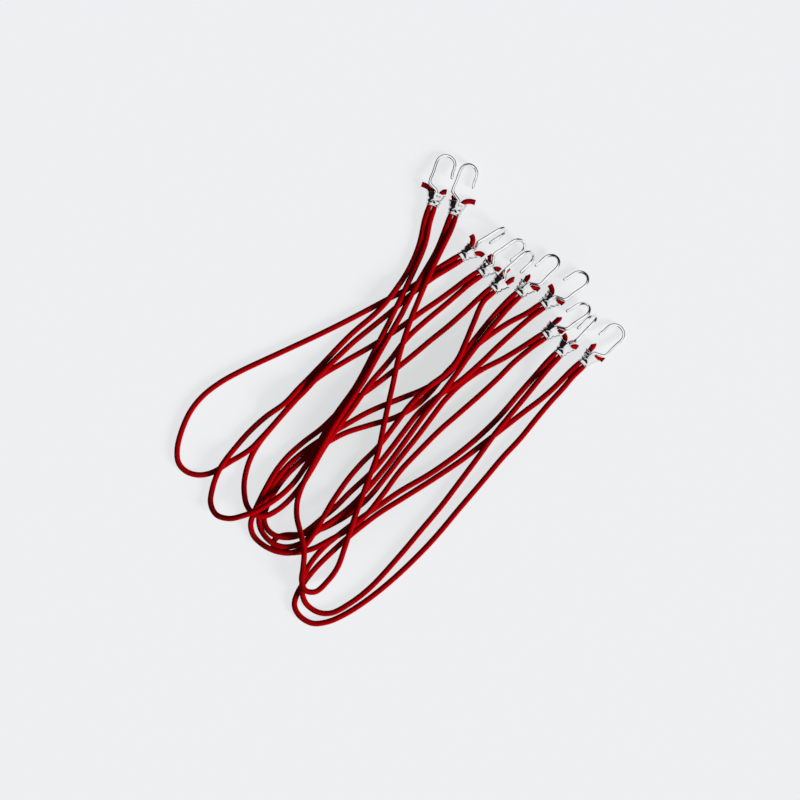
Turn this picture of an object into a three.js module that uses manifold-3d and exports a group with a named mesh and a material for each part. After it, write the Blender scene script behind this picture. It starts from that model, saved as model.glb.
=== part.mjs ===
// A set of hooked bungee loops lying in a heap. Millimetres, +Z up, floor at Z = 0.
// Each loop is one elastic cord. Its two ends run through a crimped sheet-metal ferrule that also
// grips the shank of a bent wire hook, and the cut ends of the cord stand out beside the hook.
import * as THREE from "three";
import { mergeVertices } from "three/addons/utils/BufferGeometryUtils.js";
import Module from "manifold-3d";

const wasm = await Module();
wasm.setup();

// Clearance left between pieces that touch.
const touchGap = 0.3;

// Elastic cord.
const cordDiameter = 4;
const cordSides = 8;
const cordStepLength = 12; // along the cord, between the rings of its tube
const cordExitRun = 12; // straight run out of the ferrule
const strandGap = 0.4; // between the two strands where they enter the ferrule

// How the cords lie over each other.
const crossingGap = 0.55;
const crossingFlat = 5; // half length of the level stretch over a crossing
const crossingSlope = 0.35; // steepest climb to a crossing
const layStep = 3; // spacing of the points at which the cord's height is found
const bendDiameters = 15; // stretch of cord, in diameters, within which it cannot lie on itself

// Cord ends inside and beyond the ferrule, squeezed by the crimp.
const tailDiameter = 3.6;
const tailSpread = 3.9; // from the ferrule's axis to each tail at the mouth
const tailRun = 1; // straight past the mouth before a cut end turns aside
const tailSag = 1.5;
const tailSteps = 10;

// Ferrule.
const ferruleLength = 11;
const ferruleWall = 0.7;
const ferruleCorner = 1.9;
const cornerSegments = 2;

// Hook.
const wireDiameter = 3;
const wireSides = 6;
const wireSteps = 24;
const hookBendRadius = 7.5; // to the middle of the wire
const hookLegLength = 24.5; // from the ferrule's mouth to the start of the bend
const hookTipSetback = 10; // from the start of the bend back to the tip
const hookTipFlare = 0.8;
const shankGrip = 5.4; // length of shank inside the ferrule
const shankJog = 6.5; // length over which the shank moves out to the side of the hook
const shankLift = 0.5; // above where the shank would rest on the two tails

// Middle of the heap's footprint, in the coordinates of the routes below.
const heapCentre = [0.415, 1.265];

// Each loop: where its ferrule's mouth lies, the way the hook points, how far the hook is rolled
// over on its shank, which side the shank is on (1 left, -1 right), how far each cut end lies past
// the mouth and from the ferrule's axis, and the cord's route on the floor from the left strand
// round the far bend to the right strand. Lowest loop first.
const loops = [
  {
    name: "10",
    mouth: [153.9, 28.3],
    heading: 43,
    roll: 0,
    shankSide: -1,
    leftTail: [7, 5.5],
    rightTail: [3.7, 9.5],
    route: [
      [123, 1.5], [112, -8], [100, -17], [82, -31], [64, -45], [48, -57], [24, -73], [0, -88],
      [-16, -98], [-32, -110], [-44, -120], [-57, -132], [-67, -142], [-76, -153], [-82, -163],
      [-84, -172], [-80, -180], [-70, -186], [-58, -185], [-44, -179], [-24, -166], [0, -146],
      [26, -120], [48, -94], [66, -73], [82, -54], [96, -39], [109, -23], [120, -10], [131, 2],
    ],
  },
  {
    name: "09",
    mouth: [134.1, 36.2],
    heading: 46,
    roll: 67,
    shankSide: -1,
    leftTail: [3.7, 8.2],
    rightTail: [3.7, 7.5],
    route: [
      [109, 12.5], [94, -4.5], [86, -14], [76, -25], [60, -40], [44, -53], [24, -67], [0, -81],
      [-16, -92], [-32, -103], [-48, -115], [-61, -126], [-71, -138], [-77, -150], [-78, -160],
      [-75, -170], [-66, -177], [-55, -178], [-41, -171], [-24, -158], [0, -132], [16, -113],
      [32, -94], [48, -73], [63, -53], [76, -35], [89, -19], [99, -7], [112, 9],
    ],
  },
  {
    name: "08",
    mouth: [124.4, 49.5],
    heading: 34,
    roll: 40,
    shankSide: -1,
    leftTail: [8, 5.5],
    rightTail: [3.7, 6.4],
    route: [
      [84, 26], [64, 15.5], [48, 4], [36, -8], [26, -21], [14, -37], [2, -52], [-11, -69],
      [-26, -87], [-39, -98], [-52, -106], [-65, -112], [-80, -115.5], [-92, -116], [-99.5, -119],
      [-101, -124.5], [-95.5, -128.5], [-85, -130], [-70, -127], [-56, -120], [-42, -112],
      [-26, -99], [-14, -84], [0, -65], [16, -48], [32, -32], [48, -18], [64, -4], [78, 9],
      [92, 23],
    ],
  },
  {
    name: "07",
    mouth: [123.2, 74],
    heading: 35,
    roll: 25,
    shankSide: -1,
    leftTail: [3.7, 10.5],
    rightTail: [3.7, 8.4],
    route: [
      [86, 53.5], [68, 41], [52, 28], [38, 15], [24, -2], [12, -13], [-4, -22], [-24, -28],
      [-44, -34.5], [-58, -42], [-71.5, -51], [-84, -61.5], [-94, -72.5], [-101.5, -84],
      [-106.5, -94], [-108.5, -102.5], [-106.5, -110], [-101, -115.5], [-92, -118], [-81, -116.5],
      [-72, -111], [-62, -102.5], [-52, -94], [-40, -82], [-22, -65], [-8, -48], [4, -32],
      [16, -17], [32, -4], [48, 7], [64, 21], [79, 35.5],
    ],
  },
  {
    name: "06",
    mouth: [102.7, 84.4],
    heading: 44,
    roll: 30,
    shankSide: -1,
    leftTail: [5.5, 6],
    rightTail: [3.7, 9],
    route: [
      [75, 59.5], [62, 43.5], [50, 27.5], [38, 12], [22, 2], [0, -7], [-24, -17], [-42, -27],
      [-58, -36.5], [-73, -46.5], [-86.5, -57.5], [-97, -69.5], [-104.5, -81.5], [-109.5, -92],
      [-112.5, -102.5], [-111, -111], [-106.5, -118], [-99.5, -123.5], [-90.5, -125.5],
      [-80, -123], [-71, -117], [-61, -109.5], [-50, -102], [-38, -92], [-26, -79], [-10, -60],
      [4, -41], [20, -19], [34, -2], [46, 14], [54, 25.5], [66, 41], [79, 57],
    ],
  },
  {
    name: "05",
    mouth: [82.4, 87.8],
    heading: 42,
    roll: 55,
    shankSide: 1,
    leftTail: [10, 4.6],
    rightTail: [7.5, 5.5],
    route: [
      [40, 52.5], [24, 39.5], [11, 28.5], [-2, 18], [-24, 1], [-44, -13], [-63, -31], [-78, -42.5],
      [-91, -54.5], [-100, -66.5], [-107, -79], [-112.5, -90], [-116.5, -99], [-119, -107.5],
      [-117, -116], [-109.5, -123.5], [-98, -129], [-86, -130], [-76, -125], [-68.5, -115],
      [-61, -102], [-53, -88], [-42, -72], [-31, -59], [-18, -46], [-4, -28], [10, -10], [24, 3],
      [36, 12], [46, 24], [52.5, 38], [59, 54],
    ],
  },
  {
    name: "04",
    mouth: [73, 99.8],
    heading: 35,
    roll: 45,
    shankSide: 1,
    leftTail: [4, 8],
    rightTail: [3.7, 7.2],
    route: [
      [32, 73], [16, 62], [4, 53], [-20, 37], [-44, 23], [-68, 8], [-87, -12], [-101, -28],
      [-113, -43], [-120, -56], [-124, -71], [-124, -83], [-121.5, -93], [-116, -99.5],
      [-107.5, -101], [-97.5, -96], [-89, -88.5], [-82, -80.5], [-75.5, -71.5], [-69.5, -61.5],
      [-60, -45.5], [-48, -28], [-36, -12], [-24, 5], [-8, 24], [6, 42], [20, 55], [35, 67.5],
    ],
  },
  {
    name: "03",
    mouth: [58, 112],
    heading: 32,
    roll: 75,
    shankSide: 1,
    leftTail: [6, 11],
    rightTail: [5, 8.4],
    route: [
      [27, 95.5], [10, 83.5], [-10, 73], [-40, 57], [-64, 45], [-96, 30], [-128, 15], [-144, 6],
      [-157, -4], [-167, -16], [-174, -31], [-178, -47], [-177, -58], [-171, -65], [-161, -68],
      [-150, -66], [-135, -57], [-120, -48], [-110, -38], [-100, -27], [-88, -13], [-76, -1],
      [-64, 12], [-40, 36], [-22, 51], [-6, 64], [9, 77], [25, 89],
    ],
  },
  {
    name: "01",
    mouth: [29.2, 158.5],
    heading: 72,
    roll: 0,
    shankSide: 1,
    leftTail: [3.7, 13.5],
    rightTail: [3.7, 7.5],
    route: [
      [15.7, 118], [9, 101], [0, 85.5], [-14, 67], [-40, 44], [-62, 21], [-80, 2], [-92, -11],
      [-108, -22], [-121, -34], [-133, -48], [-144, -64], [-150, -80], [-151, -91], [-146, -100],
      [-136, -103], [-125, -101], [-110, -95], [-90, -80], [-76, -62], [-65, -43], [-52, -21],
      [-36, 2], [-20, 32], [-4, 64], [8, 89], [20, 117],
    ],
  },
  {
    name: "02",
    mouth: [46.6, 151],
    heading: 70,
    roll: 25,
    shankSide: 1,
    leftTail: [5, 6.5],
    rightTail: [5, 13],
    route: [
      [29.5, 112.5], [21.5, 98], [13.5, 84], [6, 70], [-2, 55], [-10, 41], [-19, 25], [-28, 9],
      [-40, -10], [-52, -28], [-62, -46], [-71, -63], [-78, -77], [-82, -90], [-82, -102],
      [-79, -114], [-76, -128], [-77, -143], [-78, -152], [-75, -160], [-67, -161], [-58, -153],
      [-50, -142], [-44, -126], [-36, -102], [-26, -74], [-18, -52], [-12, -24], [-6, 3], [-1, 26],
      [6, 49], [14, 70], [23.5, 92], [32.6, 111.5],
    ],
  },
];

const cordRed = new THREE.Color(0.55, 0.01, 0.02);
const brightSteel = new THREE.Color(0.8, 0.81, 0.82);
const pressedSteel = new THREE.Color(0.66, 0.67, 0.68);

const cordRadius = cordDiameter / 2;
const tailRadius = tailDiameter / 2;
const wireRadius = wireDiameter / 2;
const strandOffset = (cordDiameter + strandGap) / 2;
const tailOffset = (tailDiameter + touchGap) / 2;

// Inside of the ferrule: flat below the tails, and high enough above them for the shank.
const boreFloor = tailRadius + touchGap;
const boreHalfWidthNarrow = tailOffset + tailRadius + touchGap;
const boreHalfWidthMouth = tailSpread + tailRadius + touchGap;
const gripDepth = 1 - shankGrip / ferruleLength;
const tailOffsetAtGrip = tailOffset + (tailSpread - tailOffset) * gripDepth;
const shankToTail = tailRadius + wireRadius + touchGap;
const shankHeight = Math.sqrt(shankToTail ** 2 - tailOffsetAtGrip ** 2) + shankLift;
const boreRoof = shankHeight + wireRadius + touchGap;

const toRadians = THREE.MathUtils.degToRad;

function ringShape(radius, sides) {
  const shape = new THREE.Shape();
  for (let i = 0; i < sides; i++) {
    const turn = (2 * Math.PI * (i + 0.5)) / sides;
    const x = radius * Math.cos(turn);
    const y = radius * Math.sin(turn);
    if (i === 0) shape.moveTo(x, y);
    else shape.lineTo(x, y);
  }
  shape.closePath();
  return shape;
}

function tube(points, radius, sides, steps) {
  const extrudePath = new THREE.CatmullRomCurve3(points);
  return new THREE.ExtrudeGeometry(ringShape(radius, sides), { extrudePath, steps });
}

function toSolid(geometry) {
  const bare = geometry.clone();
  bare.deleteAttribute("normal");
  bare.deleteAttribute("uv");
  const merged = mergeVertices(bare, 1e-4);
  return new wasm.Manifold(
    new wasm.Mesh({
      numProp: 3,
      vertProperties: merged.attributes.position.array,
      triVerts: new Uint32Array(merged.index.array),
    }),
  );
}

function toGeometry(solid) {
  const mesh = solid.getMesh();
  const geometry = new THREE.BufferGeometry();
  geometry.setAttribute("position", new THREE.BufferAttribute(mesh.vertProperties, 3));
  geometry.setIndex(new THREE.BufferAttribute(mesh.triVerts, 1));
  return geometry;
}

// Frame of a hook end: X along the ferrule towards the hook, Y to the left, Z up, with its origin
// at the narrow end of the ferrule. Its height lets the lowest piece touch the floor.
function hookEndFrame(loop) {
  const lowLeg = (hookBendRadius + hookTipFlare) * Math.sin(toRadians(loop.roll)) + wireRadius;
  const onTails = tailSag + tailRadius;
  const onFerrule = boreFloor + ferruleWall;
  const height = Math.max(onTails, onFerrule, lowLeg - shankHeight) + touchGap;
  const along = new THREE.Vector3(Math.cos(toRadians(loop.heading)), Math.sin(toRadians(loop.heading)), 0);
  const mouth = new THREE.Vector3(loop.mouth[0] - heapCentre[0], loop.mouth[1] - heapCentre[1], height);
  const origin = mouth.clone().addScaledVector(along, -ferruleLength);
  const left = new THREE.Vector3(-along.y, along.x, 0);
  return { origin, along, left, height };
}

// A rounded box along X whose sides flare and whose roof rises towards the mouth.
function ferruleSolid(wall, overrun) {
  const narrow = boreHalfWidthNarrow + wall;
  const floor = boreFloor + wall;
  const corner = ferruleCorner + wall;
  const shape = new THREE.Shape();
  shape.moveTo(-narrow + corner, -floor);
  shape.lineTo(narrow - corner, -floor);
  shape.absarc(narrow - corner, -floor + corner, corner, -Math.PI / 2, 0, false);
  shape.absarc(narrow - corner, floor - corner, corner, 0, Math.PI / 2, false);
  shape.absarc(-narrow + corner, floor - corner, corner, Math.PI / 2, Math.PI, false);
  shape.absarc(-narrow + corner, -floor + corner, corner, Math.PI, 1.5 * Math.PI, false);
  const depth = ferruleLength + 2 * overrun;
  const box = new THREE.ExtrudeGeometry(shape, {
    depth,
    steps: 2,
    bevelEnabled: false,
    curveSegments: cornerSegments,
  });
  const place = box.attributes.position;
  const gripRise = (boreRoof + wall) / floor;
  const mouthSpread = (boreHalfWidthMouth + wall) / narrow;
  for (let i = 0; i < place.count; i++) {
    const side = place.getX(i);
    const up = place.getY(i);
    const along = place.getZ(i) - overrun;
    const share = along / ferruleLength;
    const rise = 1 + (gripRise - 1) * Math.min(share / 0.5, 1);
    place.setXYZ(i, along, side * (1 + (mouthSpread - 1) * share), up > 0 ? up * Math.max(rise, 1) : up);
  }
  return toSolid(box);
}

function ferruleGeometry() {
  return toGeometry(ferruleSolid(ferruleWall, 0).subtract(ferruleSolid(0, touchGap)));
}

// One cord end, from the narrow end of the ferrule out past its mouth. side is 1 left, -1 right.
function tailGeometry(side, [lead, reach]) {
  const mouth = ferruleLength;
  const points = [
    [touchGap / 2, tailOffset, 0],
    [mouth * 0.45, tailOffset + (tailSpread - tailOffset) * 0.45, 0],
    [mouth, tailSpread, 0],
    [mouth + tailRun, tailSpread, -tailSag * 0.2],
    [mouth + lead * 0.7, tailSpread + (reach - tailSpread) * 0.3, -tailSag * 0.7],
    [mouth + lead * 0.95, tailSpread + (reach - tailSpread) * 0.65, -tailSag],
    [mouth + lead, reach, -tailSag],
  ];
  const path = points.map(([x, y, z]) => new THREE.Vector3(x, side * y, z));
  return tube(path, tailRadius, cordSides, tailSteps);
}

// Wire hook in its own plane: X along the shank, Y across, the shank on the +Y side of the bend.
function hookGeometry(frame, loop) {
  const mouth = ferruleLength;
  const bendStart = mouth + hookLegLength;
  const flat = [
    [mouth - shankGrip, 0],
    [mouth - shankGrip * 0.4, 0],
    [mouth + wireRadius, hookBendRadius * 0.04],
    [mouth + shankJog * 0.6, hookBendRadius * 0.55],
    [mouth + shankJog, hookBendRadius],
    [mouth + (shankJog + hookLegLength) / 2, hookBendRadius],
  ];
  const bendPoints = 8;
  for (let i = 0; i <= bendPoints; i++) {
    const turn = (Math.PI * i) / bendPoints;
    flat.push([bendStart + hookBendRadius * Math.sin(turn), hookBendRadius * Math.cos(turn)]);
  }
  flat.push([bendStart - hookTipSetback * 0.5, -hookBendRadius]);
  flat.push([bendStart - hookTipSetback, -hookBendRadius - hookTipFlare]);
  const roll = toRadians(loop.roll);
  const lowLeg = (hookBendRadius + hookTipFlare) * Math.sin(roll) + wireRadius;
  const clear = Math.max(frame.height + shankHeight - lowLeg - touchGap, 0);
  const droop = clear / (hookLegLength + hookBendRadius - shankJog);
  const points = flat.map(([x, y]) => {
    const past = Math.max(x - mouth - shankJog, 0);
    const across = y * Math.cos(roll) * loop.shankSide;
    return new THREE.Vector3(x, across, shankHeight + y * Math.sin(roll) - past * droop);
  });
  return tube(points, wireRadius, wireSides, wireSteps);
}

// Points at a steady spacing along a route on the floor.
function floorPoints(route) {
  const curve = new THREE.CatmullRomCurve3(route);
  return curve.getSpacedPoints(Math.round(curve.getLength() / layStep));
}

// The least height at each point so that the cord clears what lies under it, given as laid points.
function heightsOver(points, under) {
  const reach = cordDiameter + crossingGap;
  return points.map((point) => {
    let height = cordRadius;
    for (const low of under) {
      const apart = Math.hypot(point.x - low.x, point.y - low.y);
      if (apart < reach) height = Math.max(height, low.z + Math.sqrt(reach ** 2 - apart ** 2));
    }
    return height;
  });
}

// A cord climbs to each crossing in a long low hump.
function humped(heights) {
  const spread = heights.map((_, i) =>
    heights.reduce((most, height, j) => {
      const away = Math.max(Math.abs(i - j) * layStep - crossingFlat, 0);
      return Math.max(most, height - away * crossingSlope);
    }, cordRadius),
  );
  return spread.map((height, i) => {
    const before = spread[Math.max(i - 1, 0)];
    const after = spread[Math.min(i + 1, spread.length - 1)];
    return Math.max((before + 2 * height + after) / 4, heights[i]);
  });
}

// The cord's line in space: its route on the floor, lifted over the cords already laid and over
// its own first strand, with both ends at the ferrule's height.
function layCord(loop, frame, laid) {
  const { origin, along, left, height } = frame;
  const ends = [1, -1].map((side) => {
    const exit = origin.clone().addScaledVector(left, side * strandOffset);
    exit.addScaledVector(along, -touchGap / 2);
    return [exit, exit.clone().addScaledVector(along, -cordExitRun)];
  });
  const middle = loop.route.map(([x, y]) => new THREE.Vector3(x - heapCentre[0], y - heapCentre[1], height));
  const points = floorPoints([...ends[0], ...middle, ends[1][1], ends[1][0]]);
  const heights = heightsOver(points, laid);
  const last = points.length - 1;
  const exitPoints = Math.ceil((cordExitRun * 0.6) / layStep);
  for (let i = 0; i <= exitPoints; i++) {
    heights[i] = Math.max(heights[i], height);
    heights[last - i] = Math.max(heights[last - i], height);
  }
  const firstPass = humped(heights);
  const half = Math.round(last / 2);
  const farEnough = Math.round((bendDiameters * cordDiameter) / layStep);
  const firstStrand = points.slice(0, half).map((p, i) => new THREE.Vector3(p.x, p.y, firstPass[i]));
  for (let i = half; i <= last - farEnough / 4; i++) {
    const own = firstStrand.filter((_, j) => i - j > farEnough && j > farEnough / 4);
    heights[i] = Math.max(heights[i], heightsOver([points[i]], own)[0]);
  }
  const lifted = humped(heights);
  return points.map((p, i) => new THREE.Vector3(p.x, p.y, lifted[i]));
}

const group = new THREE.Group();

function addPiece(parent, name, geometry, color, roughness, metalness) {
  const mesh = new THREE.Mesh(geometry, new THREE.MeshStandardMaterial({ color, roughness, metalness }));
  mesh.name = name;
  parent.add(mesh);
}

const laid = [];
for (const loop of loops) {
  const frame = hookEndFrame(loop);
  const line = layCord(loop, frame, laid);
  laid.push(...line);
  const cordLength = new THREE.CatmullRomCurve3(line).getLength();
  const cordSteps = Math.round(cordLength / cordStepLength);
  addPiece(group, "cord_" + loop.name, tube(line, cordRadius, cordSides, cordSteps), cordRed, 0.7, 0);

  const hookEnd = new THREE.Group();
  hookEnd.position.copy(frame.origin);
  hookEnd.rotation.z = toRadians(loop.heading);
  addPiece(hookEnd, "ferrule_" + loop.name, ferruleGeometry(), pressedSteel, 0.3, 1);
  addPiece(hookEnd, "hook_" + loop.name, hookGeometry(frame, loop), brightSteel, 0.15, 1);
  addPiece(hookEnd, "cord_tail_left_" + loop.name, tailGeometry(1, loop.leftTail), cordRed, 0.7, 0);
  addPiece(hookEnd, "cord_tail_right_" + loop.name, tailGeometry(-1, loop.rightTail), cordRed, 0.7, 0);
  group.add(hookEnd);
  console.log("loop " + loop.name + ": cord " + cordLength.toFixed(0) + " mm");
}

export default group;
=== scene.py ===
import math

import bmesh
import bpy
from mathutils import Matrix, Vector
from mathutils.geometry import interpolate_bezier
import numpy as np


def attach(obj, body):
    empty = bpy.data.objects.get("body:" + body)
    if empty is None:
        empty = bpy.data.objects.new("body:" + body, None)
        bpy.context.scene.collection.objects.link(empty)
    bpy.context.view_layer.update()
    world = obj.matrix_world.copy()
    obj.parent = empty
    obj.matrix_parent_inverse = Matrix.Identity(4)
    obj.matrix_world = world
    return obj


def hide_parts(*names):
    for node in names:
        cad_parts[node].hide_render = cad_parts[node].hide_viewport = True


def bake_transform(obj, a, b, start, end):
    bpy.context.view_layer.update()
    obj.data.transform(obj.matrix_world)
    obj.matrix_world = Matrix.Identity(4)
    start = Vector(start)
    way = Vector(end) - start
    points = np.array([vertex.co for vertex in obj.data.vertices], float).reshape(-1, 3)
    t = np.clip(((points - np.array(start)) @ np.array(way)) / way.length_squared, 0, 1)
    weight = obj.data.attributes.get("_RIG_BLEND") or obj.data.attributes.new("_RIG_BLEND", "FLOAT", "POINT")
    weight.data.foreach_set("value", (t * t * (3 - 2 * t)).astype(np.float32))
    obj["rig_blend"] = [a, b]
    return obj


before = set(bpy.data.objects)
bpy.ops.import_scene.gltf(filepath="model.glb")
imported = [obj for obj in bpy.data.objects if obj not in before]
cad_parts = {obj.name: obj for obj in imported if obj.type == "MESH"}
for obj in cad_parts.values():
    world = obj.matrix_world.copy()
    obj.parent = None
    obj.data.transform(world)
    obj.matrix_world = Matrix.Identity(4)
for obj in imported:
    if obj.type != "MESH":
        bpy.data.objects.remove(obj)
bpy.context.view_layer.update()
print("frame loaded with", len(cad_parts), "solids")

scene = bpy.context.scene
scene.view_settings.view_transform = "Standard"


# the ten loops, lowest first, in metres on the floor
heap = {
    "centre": (0.000415, 0.001265),  # middle of the footprint, taken off every point below
    "touchGap": 0.0003,
    "spanPoints": 13,  # on a smooth line, from one chosen point to the next
    "pileBody": "cord_pile",
    "endBody": "hook_end_",
}

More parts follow.
